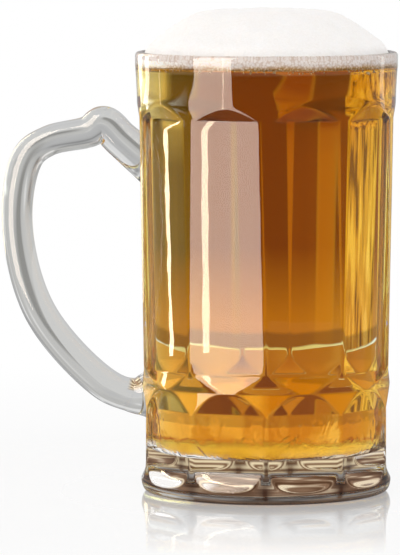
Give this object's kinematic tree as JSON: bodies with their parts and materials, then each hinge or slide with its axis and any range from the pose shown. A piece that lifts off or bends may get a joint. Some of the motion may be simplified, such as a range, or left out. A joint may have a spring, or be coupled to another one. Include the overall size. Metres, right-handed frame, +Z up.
{
  "type": "glass beer mug",
  "caption": "Heavy pressed-glass beer mug with flat side panels, a waist groove, a thick foot and an applied C-shaped handle with a thumb rest.",
  "frame": {"origin": "on the bowl's axis, at the table, in the middle of the flat underside", "axes": "+Z up along the bowl's axis, handle toward -X, so the picture looks along +Y with the handle on the left"},
  "size_m": [0.1301, 0.0862, 0.145],
  "materials": {
    "bowl_glass": "clear fire-polished pressed glass",
    "handle_glass": "clear fire-polished glass with a faint grey cast"
  },
  "bodies": {
    "root": {"mug_body": "bowl_glass", "handle": "handle_glass"}
  },
  "joints": []
}
